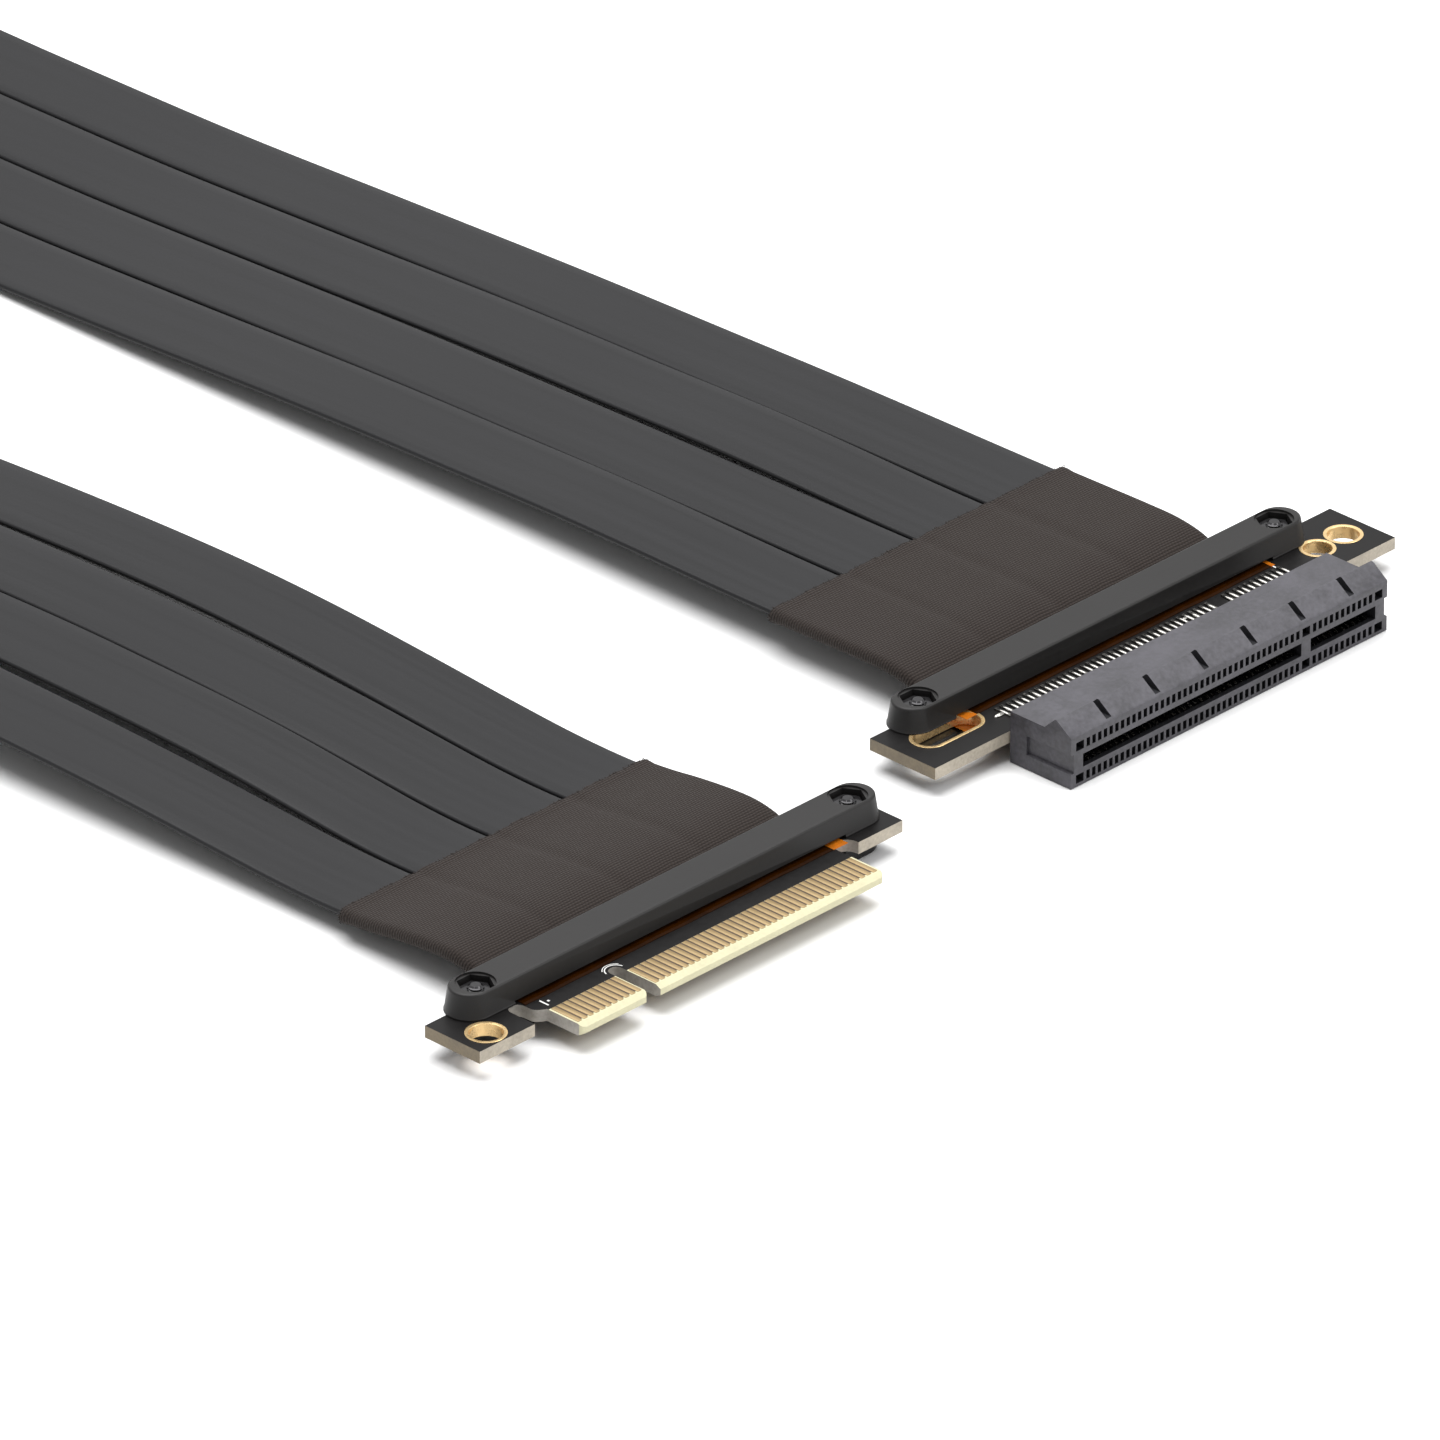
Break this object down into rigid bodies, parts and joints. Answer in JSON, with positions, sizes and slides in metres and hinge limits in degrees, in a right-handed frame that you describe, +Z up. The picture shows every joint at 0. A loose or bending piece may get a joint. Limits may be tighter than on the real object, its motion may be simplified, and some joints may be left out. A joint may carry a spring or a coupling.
{
  "type": "pci express riser cable",
  "caption": "Flat ribbon riser cable with a gold card-edge plug board at one end and a card slot on a board at the other, each held in a screwed clamp.",
  "frame": {"origin": "centre of the two connector ends together, without the free ribbons, on the surface they stand on", "axes": "+X along both connectors, from the plug end toward the slot end; both connectors face -Y and the cable leaves toward +Y; +Z up"},
  "size_m": [0.1682, 0.3025, 0.0086],
  "materials": {
    "board": "black solder mask on glass-fibre board",
    "gold": "thin gold plating, satin",
    "clamp": "black moulded plastic, finely grained",
    "steel": "blackened steel",
    "film": "amber polyimide film",
    "tin": "tinned copper",
    "cloth": "dark woven tape",
    "housing": "grey-black moulded plastic",
    "ribbon": "black cable jacket, satin"
  },
  "bodies": {
    "root": {"male_board": "board", "female_board": "board", "male_contacts_top_short": "gold", "male_contacts_top_long": "gold", "male_contacts_bottom_short": "gold", "male_contacts_bottom_long": "gold", "male_plated_hole": "gold", "female_plated_slot": "gold", "female_plated_hole_inner": "gold", "female_plated_hole_outer": "gold", "male_upper_clamp": "clamp", "male_lower_clamp": "clamp", "female_upper_clamp": "clamp", "female_lower_clamp": "clamp", "male_screw_left": "steel", "male_screw_right": "steel", "male_nut_left": "steel", "male_nut_right": "steel", "female_screw_left": "steel", "female_screw_right": "steel", "female_nut_left": "steel", "female_nut_right": "steel", "male_tape_top": "film", "male_tape_bottom": "film", "female_tape_top": "film", "female_tape_bottom": "film", "male_wires_top": "tin", "male_wires_bottom": "tin", "female_wires_top": "tin", "female_wires_bottom": "tin", "slot_contacts_top": "tin", "slot_contacts_bottom": "tin", "male_sleeve": "cloth", "female_sleeve": "cloth", "slot_housing": "housing", "ribbon_1": "ribbon", "ribbon_2": "ribbon", "ribbon_3": "ribbon", "ribbon_4": "ribbon"}
  },
  "joints": []
}
